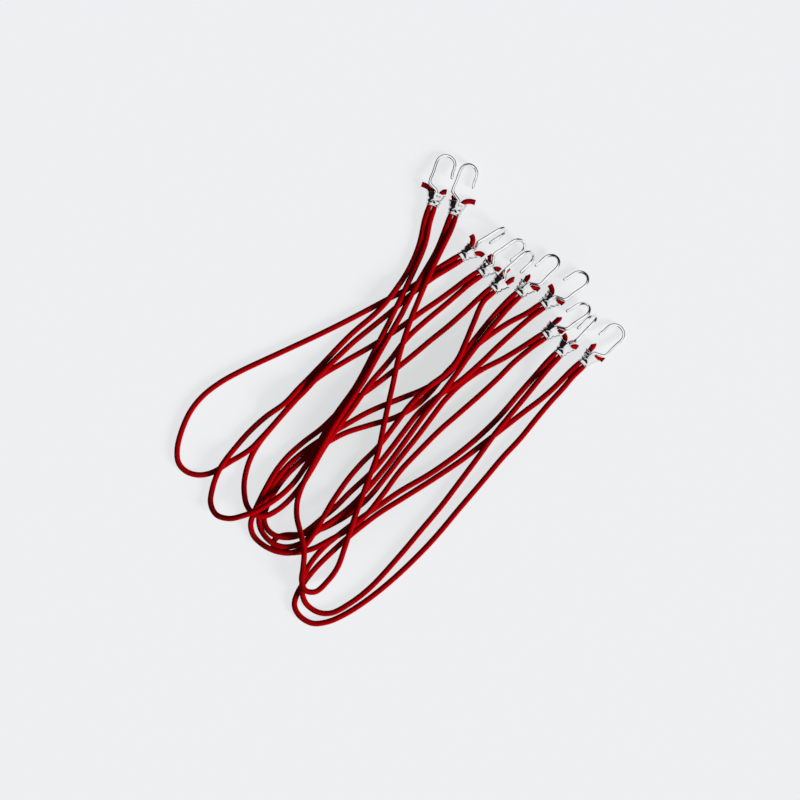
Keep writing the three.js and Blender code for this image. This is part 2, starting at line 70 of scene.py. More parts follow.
loops = [
    {
        "name": "10", "mouth": (0.1539, 0.0283), "heading": 43, "roll": 0, "shankSide": -1,
        "leftTail": (0.007, 0.0055), "rightTail": (0.0037, 0.0095),
        "route": [
            (0.123, 0.0015), (0.112, -0.008), (0.100, -0.017), (0.082, -0.031), (0.064, -0.045),
            (0.048, -0.057), (0.024, -0.073), (0.000, -0.088), (-0.016, -0.098), (-0.032, -0.110),
            (-0.044, -0.120), (-0.057, -0.132), (-0.067, -0.142), (-0.076, -0.153), (-0.082, -0.163),
            (-0.084, -0.172), (-0.080, -0.180), (-0.070, -0.186), (-0.058, -0.185), (-0.044, -0.179),
            (-0.024, -0.166), (0.000, -0.146), (0.026, -0.120), (0.048, -0.094), (0.066, -0.073),
            (0.082, -0.054), (0.096, -0.039), (0.109, -0.023), (0.120, -0.010), (0.131, 0.002),
        ],
    },
    {
        "name": "09", "mouth": (0.1341, 0.0362), "heading": 46, "roll": 67, "shankSide": -1,
        "leftTail": (0.0037, 0.0082), "rightTail": (0.0037, 0.0075),
        "route": [
            (0.109, 0.0125), (0.094, -0.0045), (0.086, -0.014), (0.076, -0.025), (0.060, -0.040),
            (0.044, -0.053), (0.024, -0.067), (0.000, -0.081), (-0.016, -0.092), (-0.032, -0.103),
            (-0.048, -0.115), (-0.061, -0.126), (-0.071, -0.138), (-0.077, -0.150), (-0.078, -0.160),
            (-0.075, -0.170), (-0.066, -0.177), (-0.055, -0.178), (-0.041, -0.171), (-0.024, -0.158),
            (0.000, -0.132), (0.016, -0.113), (0.032, -0.094), (0.048, -0.073), (0.063, -0.053),
            (0.076, -0.035), (0.089, -0.019), (0.099, -0.007), (0.112, 0.009),
        ],
    },
    {
        "name": "08", "mouth": (0.1244, 0.0495), "heading": 34, "roll": 40, "shankSide": -1,
        "leftTail": (0.008, 0.0055), "rightTail": (0.0037, 0.0064),
        "route": [
            (0.084, 0.026), (0.064, 0.0155), (0.048, 0.004), (0.036, -0.008), (0.026, -0.021),
            (0.014, -0.037), (0.002, -0.052), (-0.011, -0.069), (-0.026, -0.087), (-0.039, -0.098),
            (-0.052, -0.106), (-0.065, -0.112), (-0.080, -0.1155), (-0.092, -0.116), (-0.0995, -0.119),
            (-0.101, -0.1245), (-0.0955, -0.1285), (-0.085, -0.130), (-0.070, -0.127),
            (-0.056, -0.120), (-0.042, -0.112), (-0.026, -0.099), (-0.014, -0.084), (0.000, -0.065),
            (0.016, -0.048), (0.032, -0.032), (0.048, -0.018), (0.064, -0.004), (0.078, 0.009),
            (0.092, 0.023),
        ],
    },
    {
        "name": "07", "mouth": (0.1232, 0.074), "heading": 35, "roll": 25, "shankSide": -1,
        "leftTail": (0.0037, 0.0105), "rightTail": (0.0037, 0.0084),
        "route": [
            (0.086, 0.0535), (0.068, 0.041), (0.052, 0.028), (0.038, 0.015), (0.024, -0.002),
            (0.012, -0.013), (-0.004, -0.022), (-0.024, -0.028), (-0.044, -0.0345), (-0.058, -0.042),
            (-0.0715, -0.051), (-0.084, -0.0615), (-0.094, -0.0725), (-0.1015, -0.084),
            (-0.1065, -0.094), (-0.1085, -0.1025), (-0.1065, -0.110), (-0.101, -0.1155),
            (-0.092, -0.118), (-0.081, -0.1165), (-0.072, -0.111), (-0.062, -0.1025), (-0.052, -0.094),
            (-0.040, -0.082), (-0.022, -0.065), (-0.008, -0.048), (0.004, -0.032), (0.016, -0.017),
            (0.032, -0.004), (0.048, 0.007), (0.064, 0.021), (0.079, 0.0355),
        ],
    },
    {
        "name": "06", "mouth": (0.1027, 0.0844), "heading": 44, "roll": 30, "shankSide": -1,
        "leftTail": (0.0055, 0.006), "rightTail": (0.0037, 0.009),
        "route": [
            (0.075, 0.0595), (0.062, 0.0435), (0.050, 0.0275), (0.038, 0.012), (0.022, 0.002),
            (0.000, -0.007), (-0.024, -0.017), (-0.042, -0.027), (-0.058, -0.0365), (-0.073, -0.0465),
            (-0.0865, -0.0575), (-0.097, -0.0695), (-0.1045, -0.0815), (-0.1095, -0.092),
            (-0.1125, -0.1025), (-0.111, -0.111), (-0.1065, -0.118), (-0.0995, -0.1235),
            (-0.0905, -0.1255), (-0.080, -0.123), (-0.071, -0.117), (-0.061, -0.1095),
            (-0.050, -0.102), (-0.038, -0.092), (-0.026, -0.079), (-0.010, -0.060), (0.004, -0.041),
            (0.020, -0.019), (0.034, -0.002), (0.046, 0.014), (0.054, 0.0255), (0.066, 0.041),
            (0.079, 0.057),
        ],
    },
    {
        "name": "05", "mouth": (0.0824, 0.0878), "heading": 42, "roll": 55, "shankSide": 1,
        "leftTail": (0.010, 0.0046), "rightTail": (0.0075, 0.0055),
        "route": [
            (0.040, 0.0525), (0.024, 0.0395), (0.011, 0.0285), (-0.002, 0.018), (-0.024, 0.001),
            (-0.044, -0.013), (-0.063, -0.031), (-0.078, -0.0425), (-0.091, -0.0545),
            (-0.100, -0.0665), (-0.107, -0.079), (-0.1125, -0.090), (-0.1165, -0.099),
            (-0.119, -0.1075), (-0.117, -0.116), (-0.1095, -0.1235), (-0.098, -0.129),
            (-0.086, -0.130), (-0.076, -0.125), (-0.0685, -0.115), (-0.061, -0.102), (-0.053, -0.088),
            (-0.042, -0.072), (-0.031, -0.059), (-0.018, -0.046), (-0.004, -0.028), (0.010, -0.010),
            (0.024, 0.003), (0.036, 0.012), (0.046, 0.024), (0.0525, 0.038), (0.059, 0.054),
        ],
    },
    {
        "name": "04", "mouth": (0.073, 0.0998), "heading": 35, "roll": 45, "shankSide": 1,
        "leftTail": (0.004, 0.008), "rightTail": (0.0037, 0.0072),
        "route": [
            (0.032, 0.073), (0.016, 0.062), (0.004, 0.053), (-0.020, 0.037), (-0.044, 0.023),
            (-0.068, 0.008), (-0.087, -0.012), (-0.101, -0.028), (-0.113, -0.043), (-0.120, -0.056),
            (-0.124, -0.071), (-0.124, -0.083), (-0.1215, -0.093), (-0.116, -0.0995),
            (-0.1075, -0.101), (-0.0975, -0.096), (-0.089, -0.0885), (-0.082, -0.0805),
            (-0.0755, -0.0715), (-0.0695, -0.0615), (-0.060, -0.0455), (-0.048, -0.028),
            (-0.036, -0.012), (-0.024, 0.005), (-0.008, 0.024), (0.006, 0.042), (0.020, 0.055),
            (0.035, 0.0675),
        ],
    },
    {
        "name": "03", "mouth": (0.058, 0.112), "heading": 32, "roll": 75, "shankSide": 1,
        "leftTail": (0.006, 0.011), "rightTail": (0.005, 0.0084),
        "route": [
            (0.027, 0.0955), (0.010, 0.0835), (-0.010, 0.073), (-0.040, 0.057), (-0.064, 0.045),
            (-0.096, 0.030), (-0.128, 0.015), (-0.144, 0.006), (-0.157, -0.004), (-0.167, -0.016),
            (-0.174, -0.031), (-0.178, -0.047), (-0.177, -0.058), (-0.171, -0.065), (-0.161, -0.068),
            (-0.150, -0.066), (-0.135, -0.057), (-0.120, -0.048), (-0.110, -0.038), (-0.100, -0.027),
            (-0.088, -0.013), (-0.076, -0.001), (-0.064, 0.012), (-0.040, 0.036), (-0.022, 0.051),
            (-0.006, 0.064), (0.009, 0.077), (0.025, 0.089),
        ],
    },
    {
        "name": "01", "mouth": (0.0292, 0.1585), "heading": 72, "roll": 0, "shankSide": 1,
        "leftTail": (0.0037, 0.0135), "rightTail": (0.0037, 0.0075),
        "route": [
            (0.0157, 0.118), (0.009, 0.101), (0.000, 0.0855), (-0.014, 0.067), (-0.040, 0.044),
            (-0.062, 0.021), (-0.080, 0.002), (-0.092, -0.011), (-0.108, -0.022), (-0.121, -0.034),
            (-0.133, -0.048), (-0.144, -0.064), (-0.150, -0.080), (-0.151, -0.091), (-0.146, -0.100),
            (-0.136, -0.103), (-0.125, -0.101), (-0.110, -0.095), (-0.090, -0.080), (-0.076, -0.062),
            (-0.065, -0.043), (-0.052, -0.021), (-0.036, 0.002), (-0.020, 0.032), (-0.004, 0.064),
            (0.008, 0.089), (0.020, 0.117),
        ],
    },
    {
        "name": "02", "mouth": (0.0466, 0.151), "heading": 70, "roll": 25, "shankSide": 1,
        "leftTail": (0.005, 0.0065), "rightTail": (0.005, 0.013),
        "route": [
            (0.0295, 0.1125), (0.0215, 0.098), (0.0135, 0.084), (0.006, 0.070), (-0.002, 0.055),
            (-0.010, 0.041), (-0.019, 0.025), (-0.028, 0.009), (-0.040, -0.010), (-0.052, -0.028),
            (-0.062, -0.046), (-0.071, -0.063), (-0.078, -0.077), (-0.082, -0.090), (-0.082, -0.102),
            (-0.079, -0.114), (-0.076, -0.128), (-0.077, -0.143), (-0.078, -0.152), (-0.075, -0.160),
            (-0.067, -0.161), (-0.058, -0.153), (-0.050, -0.142), (-0.044, -0.126), (-0.036, -0.102),
            (-0.026, -0.074), (-0.018, -0.052), (-0.012, -0.024), (-0.006, 0.003), (-0.001, 0.026),
            (0.006, 0.049), (0.014, 0.070), (0.0235, 0.092), (0.0326, 0.1115),
        ],
    },
]


# camera over the heap, tilted a little towards the viewer
view = {
    "lens": 120,
    "sensor": 36,
    "width": 0.640,  # of floor across the picture
    "elevation": 86,
    "target": (-0.0004, -0.0093, 0.003),
}


def addCamera():
    camera = bpy.data.objects.new("camera", bpy.data.cameras.new("camera"))
    scene.collection.objects.link(camera)
    camera.data.lens = view["lens"]
    camera.data.sensor_width = view["sensor"]
    distance = view["width"] * view["lens"] / view["sensor"]
    tilt = math.radians(view["elevation"])
    back = Vector((0, -math.cos(tilt), math.sin(tilt)))
    camera.location = Vector(view["target"]) + back * distance
    camera.rotation_euler = (math.pi / 2 - tilt, 0, 0)
    scene.camera = camera


addCamera()
print("camera set")


# node helpers
def addNode(tree, kind, inputs=None, **settings):
    node = tree.nodes.new("ShaderNode" + kind)
    for key, value in settings.items():
        setattr(node, key, value)
    for key, value in (inputs or {}).items():
        if isinstance(value, bpy.types.NodeSocket):
            tree.links.new(value, node.inputs[key])
        else:
            node.inputs[key].default_value = value
    return node


def addMath(tree, operation, first, second=0.0, third=0.0):
    return addNode(tree, "Math", {0: first, 1: second, 2: third}, operation=operation).outputs[0]


def mixColour(tree, factor, first, second):
    colours = {0: factor, 6: first, 7: second}  # sockets 6 and 7 take the colours
    return addNode(tree, "Mix", colours, data_type="RGBA").outputs[2]


def newMaterial(name, **shaderValues):
    material = bpy.data.materials.new(name)
    material.use_nodes = True
    shader = material.node_tree.nodes["Principled BSDF"]
    for key, value in shaderValues.items():
        shader.inputs[key.replace("_", " ")].default_value = value
    return material, material.node_tree, shader


def newGroup(name, inputs, outputs):
    group = bpy.data.node_groups.new(name, "ShaderNodeTree")
    for socketName, kind in inputs:
        group.interface.new_socket(socketName, in_out="INPUT", socket_type="NodeSocket" + kind)
    for socketName, kind in outputs:
        group.interface.new_socket(socketName, in_out="OUTPUT", socket_type="NodeSocket" + kind)
    return group, group.nodes.new("NodeGroupInput"), group.nodes.new("NodeGroupOutput")


def placeGroup(tree, group, **values):
    return addNode(tree, "Group", values, node_tree=group)


# pale floor with painted shade under the heap, bright tent overhead and a dark rim of room beyond it
studio = {
    "floorColour": (0.896, 0.904, 0.922, 1),
    "paintedFloorShade": (0.770, 0.790, 0.792, 1),  # painted shade between the cords, where little of the room reaches
    "shadeCentre": (0.010, -0.005, 0.0),
    "shadeTurn": 45,
    "shadeHalf": (0.21, 0.11, 1.0),
    "shadeFrom": 0.2,  # share of the half size where the shade starts to clear
    "shadeTo": 1.0,
    "floorSize": 6.0,
    "floorDrop": 0.0002,
    "floorRoughness": 0.9,
    "shadowShare": 0.16,  # how much of the real light the floor shows
    "tentColour": (1.0, 1.0, 1.0, 1),
    "rimColour": (0.012, 0.012, 0.014, 1),
    "rimTop": 0.90,  # height on the unit sphere where the tent is at full strength
    "rimFoot": 0.60,
    "windowColour": (1.0, 1.0, 1.0, 1),  # the rim is bright on the side the light comes from
    "windowSide": (0.57, -0.82, 0.0),
    "windowFrom": 0.45,
    "windowTo": 0.75,
    "tentStrength": 0.20,
    "keyStrength": 4.8,
    "keyAngle": 20,
    "keyFrom": (0.80, -0.50, 0.42),
}


def shownRays(tree):
    path = addNode(tree, "LightPath")
    seen = addMath(tree, "MAXIMUM", path.outputs["Is Camera Ray"], path.outputs["Is Glossy Ray"])
    return addMath(tree, "MAXIMUM", seen, path.outputs["Is Transmission Ray"])


def addFloor():
    mesh = bpy.data.meshes.new("floor")
    bm = bmesh.new()
    bmesh.ops.create_grid(bm, x_segments=1, y_segments=1, size=studio["floorSize"] / 2)
    bmesh.ops.translate(bm, vec=(0, 0, -studio["floorDrop"]), verts=bm.verts)
    bm.to_mesh(mesh)
    bm.free()
    floor = bpy.data.objects.new("floor", mesh)
    scene.collection.objects.link(floor)
    material, tree, shader = newMaterial(
        "paleFloor", Roughness=studio["floorRoughness"], Base_Color=studio["floorColour"]
    )
    # painted shade: the floor's glow darkens in a soft ellipse under the heap, between the cords
    place = addNode(tree, "TexCoord").outputs["Object"]
    turned = addNode(
        tree, "Mapping",
        {
            "Vector": place, "Location": studio["shadeCentre"], "Scale": studio["shadeHalf"],
            "Rotation": (0, 0, math.radians(studio["shadeTurn"])),
        },
        vector_type="TEXTURE",
    ).outputs[0]
    away = addNode(tree, "VectorMath", {0: turned}, operation="LENGTH").outputs["Value"]
    clear = addNode(
        tree, "MapRange",
        {"Value": away, "From Min": studio["shadeFrom"], "From Max": studio["shadeTo"]},
        interpolation_type="SMOOTHSTEP",
    ).outputs[0]
    glowColour = mixColour(tree, clear, studio["paintedFloorShade"], studio["floorColour"])
    glow = addNode(tree, "Emission", {"Color": glowColour})
    share = addMath(tree, "MULTIPLY", shownRays(tree), 1 - studio["shadowShare"])
    mixed = addNode(tree, "MixShader", {0: share, 1: shader.outputs[0], 2: glow.outputs[0]})
    tree.links.new(mixed.outputs[0], tree.nodes["Material Output"].inputs["Surface"])
    mesh.materials.append(material)


def addTent():
    world = bpy.data.worlds.new("tent")
    scene.world = world
    world.use_nodes = True
    tree = world.node_tree
    background = tree.nodes["Background"]
    direction = addNode(tree, "TexCoord").outputs["Generated"]
    height = addNode(tree, "SeparateXYZ", {0: direction}).outputs["Z"]
    rise = addNode(
        tree, "MapRange",
        {"Value": height, "From Min": studio["rimFoot"], "From Max": studio["rimTop"]},
        interpolation_type="SMOOTHSTEP",
    ).outputs[0]
    facing = addNode(
        tree, "VectorMath", {0: direction, 1: studio["windowSide"]}, operation="DOT_PRODUCT"
    )
    window = addNode(
        tree, "MapRange",
        {
            "Value": facing.outputs["Value"], "From Min": studio["windowFrom"],
            "From Max": studio["windowTo"],
        },
        interpolation_type="SMOOTHSTEP",
    ).outputs[0]
    rim = mixColour(tree, window, studio["rimColour"], studio["windowColour"])
    tent = mixColour(tree, rise, rim, studio["tentColour"])
    path = addNode(tree, "LightPath")
    seen = mixColour(tree, path.outputs["Is Camera Ray"], tent, studio["floorColour"])
    strength = addNode(
        tree, "MapRange",
        {"Value": shownRays(tree), "To Min": studio["tentStrength"], "To Max": 1.0},
    ).outputs[0]
    tree.links.new(seen, background.inputs["Color"])
    tree.links.new(strength, background.inputs["Strength"])


def addKey():
    lamp = bpy.data.lights.new("key", "SUN")
    lamp.energy = studio["keyStrength"]
    lamp.angle = math.radians(studio["keyAngle"])
    key = bpy.data.objects.new("key", lamp)
    key.visible_glossy = False  # the metal reflects the tent alone
    key.location = studio["keyFrom"]
    key.rotation_euler = Vector(studio["keyFrom"]).to_track_quat("Z", "Y").to_euler()
    scene.collection.objects.link(key)


addFloor()
addTent()
addKey()
print("floor and lights set")


# a round section swept along a line, with the length and the turn kept for the weave
def sweepRound(path, radii, sides):
    bm = bmesh.new()
    lengthLayer = bm.verts.layers.float.new("length")
    turnLayer = bm.verts.layers.float.new("turn")
    tangents = []
    for i in range(len(path)):
        before = path[max(i - 1, 0)]
        after = path[min(i + 1, len(path) - 1)]
        tangents.append((after - before).normalized())
    turn = tangents[0].to_track_quat("Z", "Y")
    places = []
    for i, point in enumerate(path):
        if i:
            turn = tangents[i - 1].rotation_difference(tangents[i]) @ turn
        turned = Matrix.Translation(point) @ turn.to_matrix().to_4x4()
        places.append(turned @ Matrix.Scale(radii[i], 4))
    ring = bmesh.ops.create_circle(bm, segments=sides, radius=1)["verts"]
    for vert in ring:
        vert[turnLayer] = (math.atan2(vert.co.y, vert.co.x) / (2 * math.pi)) % 1
    bmesh.ops.transform(bm, matrix=places[0], verts=ring)
    edges = list(bm.edges)
    firstEdges = edges
    travelled = 0.0
    for i in range(1, len(path)):
        travelled += (path[i] - path[i - 1]).length
        made = bmesh.ops.extrude_edge_only(bm, edges=edges)["geom"]
        ring = [item for item in made if isinstance(item, bmesh.types.BMVert)]
        edges = [item for item in made if isinstance(item, bmesh.types.BMEdge)]
        bmesh.ops.transform(bm, matrix=places[i] @ places[i - 1].inverted(), verts=ring)
        for vert in ring:
            vert[lengthLayer] = travelled
    return bm, firstEdges, edges


def writeSheathUv(bm, circumference):
    uvLayer = bm.loops.layers.uv.new("sheathUv")
    lengthLayer = bm.verts.layers.float["length"]
    turnLayer = bm.verts.layers.float["turn"]
    for face in bm.faces:
        turns = [loop.vert[turnLayer] for loop in face.loops]
        wraps = max(turns) - min(turns) > 0.5
        for loop, turn in zip(face.loops, turns):
            around = turn + 1 if wraps and turn < 0.5 else turn
            loop[uvLayer].uv = (loop.vert[lengthLayer] / circumference, around)


def finishPiece(bm, name, materials, sharpAngle=40):
    bmesh.ops.recalc_face_normals(bm, faces=bm.faces)
    for face in bm.faces:
        face.smooth = True
    mesh = bpy.data.meshes.new(name)
    bm.to_mesh(mesh)
    bm.free()
    mesh.set_sharp_from_angle(angle=math.radians(sharpAngle))
    for material in materials:
        mesh.materials.append(material)
    piece = bpy.data.objects.new(name, mesh)
    scene.collection.objects.link(piece)
    return piece


# finishes shared by several pieces
finish = {
    "red": (0.40, 0.0006, 0.0025, 1),
    # the deep red is the painted shade in the gaps of the weave, and the colour of the fused strands
    "redDeep": (0.14, 0.0003, 0.001, 1),
    "redFaded": (0.45, 0.0015, 0.004, 1),
    "fusedRed": (0.045, 0.004, 0.005, 1),
    "hookSteel": (0.96, 0.96, 0.97, 1),
    "ferruleSteel": (0.80, 0.80, 0.81, 1),
    "steelDull": (0.52, 0.52, 0.53, 1),
}
weave = {
    "yarnsEachWay": 12,
    "yarnRoundness": 0.6,
    "crownRise": 0.55,  # of a yarn between the places where it dives under
    "crownFoot": 0.45,
    "patchScale": 45.0,
    "patchDetail": 3.0,
    "fibreScale": 2600.0,
    "fibreDetail": 2.0,
    "fibreHeight": 0.25,
    # curve of the painted shade that darkens the red down into the gaps between the yarns
    "gapShadeCurve": 0.7,
    "roughness": 0.8,
    "specular": 0.05,
    "sheen": 0.02,
    "sheenRoughness": 0.4,
    "sheenTint": (0.9, 0.1, 0.1, 1),
    "bumpStrength": 0.6,
    "bumpDepth": 0.00025,
    "cordFading": 0.45,
    "tailFading": 0.25,
}
fusedCut = {
    "roughness": 0.45,
    "strandScale": 1700.0,
    "bumpStrength": 0.7,
    "bumpDepth": 0.0002,
}
plated = {
    "cloudScale": 260.0,
    "cloudDetail": 4.0,
    "speckDetail": 3.0,
    "wornFrom": 0.5,
    "wornTo": 0.8,
    "wornMost": 0.55,
    "speckSpread": 0.06,  # added to the roughness
    "wornSpread": 0.10,
    "bumpStrength": 0.15,
    "bumpDepth": 0.00004,
    "hookGrain": 900.0,
    "hookBlur": 0.02,
    "ferruleGrain": 600.0,
    "ferruleBlur": 0.03,
}


def halfWave(tree, value):
    share = addMath(tree, "FRACT", value)
    return addMath(tree, "SINE", addMath(tree, "MULTIPLY", share, math.pi))


def addNoise(tree, place, scale, detail):
    return addNode(tree, "TexNoise", {"Vector": place, "Scale": scale, "Detail": detail}).outputs[0]


def braidGroup():
    group, source, result = newGroup(
        "braidedSheath",
        [("Sheath", "Vector"), ("Yarns", "Float"), ("Fading", "Float")],
        [("Yarn Height", "Float"), ("Colour", "Color")],
    )
    parts = addNode(group, "SeparateXYZ", {0: source.outputs["Sheath"]})
    along = addMath(group, "MULTIPLY", parts.outputs["X"], source.outputs["Yarns"])
    around = addMath(group, "MULTIPLY", parts.outputs["Y"], source.outputs["Yarns"])
    climbing = addMath(group, "ADD", around, along)
    falling = addMath(group, "SUBTRACT", around, along)
    cells = addMath(
        group, "ADD", addMath(group, "FLOOR", climbing), addMath(group, "FLOOR", falling)
    )
    onTop = addMath(group, "PINGPONG", cells, 1.0)  # which of the two yarns is over the other
    domes = []
    for first, second in ((climbing, falling), (falling, climbing)):
        across = halfWave(group, first)
        rise = halfWave(group, second)
        crown = addMath(group, "MULTIPLY_ADD", rise, weave["crownRise"], weave["crownFoot"])
        rounded = addMath(group, "POWER", across, weave["yarnRoundness"])
        domes.append(addMath(group, "MULTIPLY", rounded, crown))
    height = addNode(group, "Mix", {0: onTop, 2: domes[0], 3: domes[1]}).outputs[0]
    place = addNode(group, "TexCoord").outputs["Object"]
    patches = addNoise(group, place, weave["patchScale"], weave["patchDetail"])
    fibres = addNoise(group, place, weave["fibreScale"], weave["fibreDetail"])
    fade = addMath(group, "MULTIPLY", patches, source.outputs["Fading"])
    cloth = mixColour(group, fade, finish["red"], finish["redFaded"])
    # painted shade: the red darkens from the yarn crowns down into the gaps between the yarns
    depth = addMath(group, "POWER", height, weave["gapShadeCurve"])
    gapShadedRed = mixColour(group, depth, finish["redDeep"], cloth)
    group.links.new(gapShadedRed, result.inputs["Colour"])
    fluff = addMath(group, "MULTIPLY_ADD", fibres, weave["fibreHeight"], height)
    group.links.new(fluff, result.inputs["Yarn Height"])
    return group


def platingGroup():
    group, source, result = newGroup(
        "platedSteel",
        [("Bright", "Color"), ("Dull", "Color"), ("Grain", "Float"), ("Blur", "Float")],
        [("Colour", "Color"), ("Roughness", "Float"), ("Height", "Float")],
    )
    place = addNode(group, "TexCoord").outputs["Object"]
    clouds = addNoise(group, place, plated["cloudScale"], plated["cloudDetail"])
    specks = addNoise(group, place, source.outputs["Grain"], plated["speckDetail"])
    worn = addNode(
        group, "MapRange",
        {
            "Value": clouds, "From Min": plated["wornFrom"], "From Max": plated["wornTo"],
            "To Max": plated["wornMost"],
        },
    ).outputs[0]
    tint = mixColour(group, worn, source.outputs["Bright"], source.outputs["Dull"])
    speckled = addMath(group, "MULTIPLY_ADD", specks, plated["speckSpread"], source.outputs["Blur"])
    rough = addMath(group, "MULTIPLY_ADD", worn, plated["wornSpread"], speckled)
    group.links.new(tint, result.inputs["Colour"])
    group.links.new(rough, result.inputs["Roughness"])
    group.links.new(specks, result.inputs["Height"])
    return group


def addBump(tree, shader, height, relief):
    inputs = {"Strength": relief["bumpStrength"], "Distance": relief["bumpDepth"], "Height": height}
    bump = addNode(tree, "Bump", inputs)
    tree.links.new(bump.outputs["Normal"], shader.inputs["Normal"])


braid = braidGroup()
plating = platingGroup()


def sheathMaterial(name, fading):
    material, tree, shader = newMaterial(
        name, Roughness=weave["roughness"], Specular_IOR_Level=weave["specular"],
        Sheen_Weight=weave["sheen"], Sheen_Roughness=weave["sheenRoughness"],
        Sheen_Tint=weave["sheenTint"],
    )
    sheathUv = addNode(tree, "UVMap", uv_map="sheathUv").outputs[0]
    yarns = float(weave["yarnsEachWay"])
    woven = placeGroup(tree, braid, Sheath=sheathUv, Yarns=yarns, Fading=fading)
    tree.links.new(woven.outputs["Colour"], shader.inputs["Base Color"])
    addBump(tree, shader, woven.outputs["Yarn Height"], weave)
    return material


def fusedEndMaterial():
    material, tree, shader = newMaterial("fusedEnd", Roughness=fusedCut["roughness"])
    place = addNode(tree, "TexCoord").outputs["Object"]
    strands = addNode(tree, "TexVoronoi", {"Vector": place, "Scale": fusedCut["strandScale"]})
    colour = mixColour(tree, strands.outputs["Distance"], finish["redDeep"], finish["fusedRed"])
    tree.links.new(colour, shader.inputs["Base Color"])
    addBump(tree, shader, strands.outputs["Distance"], fusedCut)
    return material


def steelMaterial(name, bright, grain, blur):
    material, tree, shader = newMaterial(name, Metallic=1.0)
    steel = placeGroup(tree, plating, Bright=bright, Dull=finish["steelDull"], Grain=grain, Blur=blur)
    tree.links.new(steel.outputs["Colour"], shader.inputs["Base Color"])
    tree.links.new(steel.outputs["Roughness"], shader.inputs["Roughness"])
    addBump(tree, shader, steel.outputs["Height"], plated)
    return material


cordSheath = sheathMaterial("cordSheath", weave["cordFading"])
tailSheath = sheathMaterial("tailSheath", weave["tailFading"])
fusedEnd = fusedEndMaterial()
hookSteel = steelMaterial("hookSteel", finish["hookSteel"], plated["hookGrain"], plated["hookBlur"])
ferruleSteel = steelMaterial(
    "ferruleSteel", finish["ferruleSteel"], plated["ferruleGrain"], plated["ferruleBlur"]
)
print("finishes made")


# sizes of a hook end that several pieces share
cord = {
    "diameter": 0.004,
    "sheathDiameter": 0.00455,  # with the nap of the weave, so that the strands of a pair touch
    "exitRun": 0.012,  # straight run out of the ferrule
    "levelExit": 0.6,  # share of that run held at the height of the ferrule
    "strandGap": 0.0004,
    "crossingGap": 0.00055,
    "crossingFlat": 0.005,  # half length of the level stretch over a crossing
    "crossingSlope": 0.35,
    "layStep": 0.003,
    "bendDiameters": 15,  # stretch, in diameters, within which the cord cannot lie on itself
    "ownEnds": 0.25,  # share of that stretch left as laid at each end
    "hidden": (0.0015, 0.004),  # depths of the points inside the ferrule
    "swellFrom": 0.4,  # share of the hidden stretch where the cord regains its size
    "ringStep": 0.002,
    "sides": 20,
}
tail = {
    "diameter": 0.0036,
    "cutDiameter": 0.0043,  # past the ferrule it swells again
    "spread": 0.0039,
    "run": 0.001,  # straight past the mouth before it turns aside
    "sag": 0.0015,
    "swell": 0.004,  # length over which it swells
    "inside": 0.45,  # share of the ferrule at its middle point
    "runSag": 0.2,  # shares of the sag, the lead and the way out at each turn
    "bendLead": 0.7,
    "bendOut": 0.3,
    "bendSag": 0.7,
    "turnLead": 0.95,
    "turnOut": 0.65,
    "ringStep": 0.0006,
    "sides": 20,
    "rim": 0.0005,
    "dimple": 0.0003,
}
ferrule = {
    "length": 0.011,
    "wall": 0.0007,
    "corner": 0.0019,
    "cornerSegments": 6,
    "flatCuts": 11,
    "stations": 22,
    "crownFrom": 1.6,  # how soon up the side the ridge and the dent set in
    "ridgeWidth": 0.0027,
    "ridgeRise": 0.55,  # share of the length over which the ridge rises
    "dent": 0.0008,  # pressed between the two strands
    "dentPlace": 0.3,  # shares of the length, for the dent and for the crimp lines
    "dentLength": 0.13,
    "dentWidth": 0.0014,
    "groove": 0.00045,  # two crimp lines round the narrow half
    "groovePlaces": (0.18, 0.50),
    "grooveLength": 0.09,
    "lip": 0.0004,
    "mouthLip": 0.14,  # shares of the length that the lips take up
    "cordLip": 0.08,
    "cordLipHeight": 0.6,  # of the lip at the mouth
    "seam": 0.0003,
    "seamWidth": 0.00035,
    "underside": 0.9,  # share of the half height below which the seam lies
    "rimShare": 0.35,  # of the wall
    "rimSegments": 3,
    "rimAngle": 60,
}
hook = {
    "diameter": 0.003,
    "bendRadius": 0.0075,
    "legLength": 0.0245,
    "tipSetback": 0.010,
    "tipFlare": 0.0008,
    "shankGrip": 0.0054,
    "shankJog": 0.0065,
    "shankLift": 0.0005,
    "gripMiddle": 0.4,  # share of the grip still to go at its second point
    "jogStart": 0.04,  # shares of the bend radius and the jog where the shank goes aside
    "jogLead": 0.6,
    "jogReach": 0.55,
    "tipMiddle": 0.5,
    "bendPoints": 8,
    "ringStep": 0.0005,
    "sides": 24,
    "tipFlat": 0.35,  # share of the wire's radius left flat at the tip
    "sharpAngle": 60,
}

gap = heap["touchGap"]
cordRadius = cord["diameter"] / 2
sheathRadius = cord["sheathDiameter"] / 2
tailRadius = tail["diameter"] / 2
wireRadius = hook["diameter"] / 2
strandOffset = (cord["diameter"] + cord["strandGap"]) / 2
tailOffset = (tail["diameter"] + gap) / 2
boreFloor = tailRadius + gap
boreNarrow = tailOffset + tailRadius + gap
boreMouth = tail["spread"] + tailRadius + gap
tailAtGrip = tailOffset + (tail["spread"] - tailOffset) * (1 - hook["shankGrip"] / ferrule["length"])
shankHeight = math.sqrt((tailRadius + wireRadius + gap) ** 2 - tailAtGrip**2) + hook["shankLift"]
boreRoof = shankHeight + wireRadius + gap


def spacedLine(line, step):
    runs = [0.0]
    for first, second in zip(line, line[1:]):
        runs.append(runs[-1] + (second - first).length)
    count = round(runs[-1] / step)
    spaced = []
    at = 0
    for i in range(count + 1):
        wanted = runs[-1] * i / count
        while at < len(line) - 2 and runs[at + 1] < wanted:
            at += 1
        share = (wanted - runs[at]) / (runs[at + 1] - runs[at])
        spaced.append(line[at].lerp(line[at + 1], share))
    return spaced


